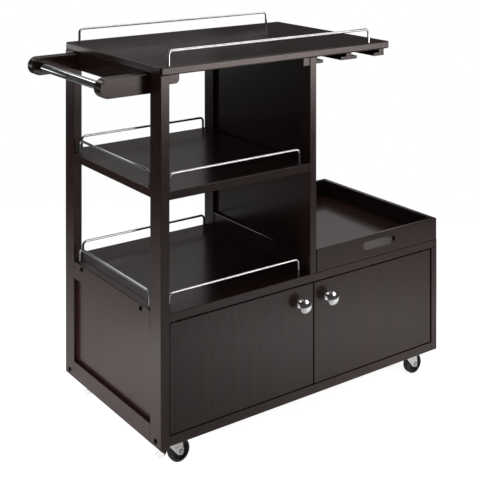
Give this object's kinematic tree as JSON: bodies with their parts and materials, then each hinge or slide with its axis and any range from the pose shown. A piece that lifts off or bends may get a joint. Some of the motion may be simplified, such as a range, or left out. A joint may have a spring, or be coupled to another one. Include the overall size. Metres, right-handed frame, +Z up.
{
  "type": "kitchen cart",
  "caption": "Wheeled kitchen and bar cart with a two-door cabinet, open shelves with chrome guard rails, a lift-off tray, a stemware rack and a push handle.",
  "frame": {"origin": "on the floor, under the middle of the overall box", "axes": "+X to the tray end, away from the push handle; +Y to the back, the doors facing -Y; +Z up"},
  "size_m": [0.955, 0.48, 0.917],
  "materials": {
    "espresso_wood": "dark espresso stain, semi-gloss",
    "chrome": "polished",
    "plated_steel": "zinc plated",
    "black_steel": "black oxide",
    "wheel_rubber": "matt dark grey",
    "white_plastic": "white",
    "brown_plastic": "brown"
  },
  "bodies": {
    "cart": {"top_panel": "espresso_wood", "top_cleats": "espresso_wood", "front_left_post": "espresso_wood", "back_left_post": "espresso_wood", "left_end_top_rail": "espresso_wood", "left_end_middle_rail": "espresso_wood", "left_end_bottom_rail": "espresso_wood", "left_end_panel": "espresso_wood", "divider_front_stile": "espresso_wood", "divider_back_stile": "espresso_wood", "divider_top_rail": "espresso_wood", "divider_bottom_rail": "espresso_wood", "divider_panel": "espresso_wood", "middle_shelf": "espresso_wood", "cabinet_top": "espresso_wood", "cabinet_bottom": "espresso_wood", "right_end_panel": "espresso_wood", "cabinet_back_panel": "espresso_wood", "handle_front_arm": "espresso_wood", "handle_back_arm": "espresso_wood", "stem_rack_left_rail": "espresso_wood", "stem_rack_middle_rail": "espresso_wood", "stem_rack_right_rail": "espresso_wood", "top_front_rail": "chrome", "top_back_rail": "chrome", "shelf_front_rail": "chrome", "shelf_back_rail": "chrome", "shelf_left_rail": "chrome", "cabinet_front_rail": "chrome", "cabinet_back_rail": "chrome", "cabinet_left_rail": "chrome", "handle_bar": "chrome", "caster_plates": "plated_steel", "magnetic_catch": "brown_plastic", "frame_bolts": "black_steel"},
    "left_door": {"left_door": "espresso_wood", "left_door_knob": "chrome", "left_door_fittings": "plated_steel"},
    "right_door": {"right_door": "espresso_wood", "right_door_knob": "chrome", "right_door_fittings": "plated_steel"},
    "tray": {"tray_floor": "espresso_wood", "tray_front_wall": "espresso_wood", "tray_back_wall": "espresso_wood", "tray_left_wall": "espresso_wood", "tray_right_wall": "espresso_wood"},
    "front_left_swivel": {"front_left_caster_fork": "plated_steel", "front_left_caster_axle": "plated_steel"},
    "front_left_wheel": {"front_left_caster_wheel": "wheel_rubber"},
    "front_left_pedal": {"front_left_brake_pedal": "white_plastic"},
    "front_right_swivel": {"front_right_caster_fork": "plated_steel", "front_right_caster_axle": "plated_steel"},
    "front_right_wheel": {"front_right_caster_wheel": "wheel_rubber"},
    "back_left_swivel": {"back_left_caster_fork": "plated_steel", "back_left_caster_axle": "plated_steel"},
    "back_left_wheel": {"back_left_caster_wheel": "wheel_rubber"},
    "back_left_pedal": {"back_left_brake_pedal": "white_plastic"},
    "back_right_swivel": {"back_right_caster_fork": "plated_steel", "back_right_caster_axle": "plated_steel"},
    "back_right_wheel": {"back_right_caster_wheel": "wheel_rubber"}
  },
  "joints": [
    {"name": "left_door_hinge", "type": "hinge", "parent": "cart", "child": "left_door", "pos_m": [-0.3165, -0.198, 0.2115], "axis": [0, 0, -1], "range_deg": [0, 105]},
    {"name": "right_door_hinge", "type": "hinge", "parent": "cart", "child": "right_door", "pos_m": [0.441, -0.198, 0.2115], "axis": [0, 0, 1], "range_deg": [0, 105]},
    {"name": "tray_lift", "type": "slide", "parent": "cart", "child": "tray", "axis": [0, 0, 1], "range_m": [0, 0.25]},
    {"name": "front_left_swivel_turn", "type": "hinge", "parent": "cart", "child": "front_left_swivel", "pos_m": [-0.2985, -0.158, 0.063], "axis": [0, 0, 1], "continuous": true},
    {"name": "front_left_wheel_spin", "type": "hinge", "parent": "front_left_swivel", "child": "front_left_wheel", "pos_m": [-0.2785, -0.158, 0.0255], "axis": [0, 1, 0], "continuous": true},
    {"name": "front_left_brake_press", "type": "hinge", "parent": "front_left_swivel", "child": "front_left_pedal", "pos_m": [-0.3065, -0.158, 0.047], "axis": [0, -1, 0], "range_deg": [0, 11.5]},
    {"name": "front_right_swivel_turn", "type": "hinge", "parent": "cart", "child": "front_right_swivel", "pos_m": [0.4195, -0.158, 0.063], "axis": [0, 0, 1], "continuous": true},
    {"name": "front_right_wheel_spin", "type": "hinge", "parent": "front_right_swivel", "child": "front_right_wheel", "pos_m": [0.4395, -0.158, 0.0255], "axis": [0, 1, 0], "continuous": true},
    {"name": "back_left_swivel_turn", "type": "hinge", "parent": "cart", "child": "back_left_swivel", "pos_m": [-0.2985, 0.185, 0.063], "axis": [0, 0, 1], "continuous": true},
    {"name": "back_left_wheel_spin", "type": "hinge", "parent": "back_left_swivel", "child": "back_left_wheel", "pos_m": [-0.2785, 0.185, 0.0255], "axis": [0, 1, 0], "continuous": true},
    {"name": "back_left_brake_press", "type": "hinge", "parent": "back_left_swivel", "child": "back_left_pedal", "pos_m": [-0.3065, 0.185, 0.047], "axis": [0, -1, 0], "range_deg": [0, 11.5]},
    {"name": "back_right_swivel_turn", "type": "hinge", "parent": "cart", "child": "back_right_swivel", "pos_m": [0.4195, 0.185, 0.063], "axis": [0, 0, 1], "continuous": true},
    {"name": "back_right_wheel_spin", "type": "hinge", "parent": "back_right_swivel", "child": "back_right_wheel", "pos_m": [0.4395, 0.185, 0.0255], "axis": [0, 1, 0], "continuous": true}
  ]
}
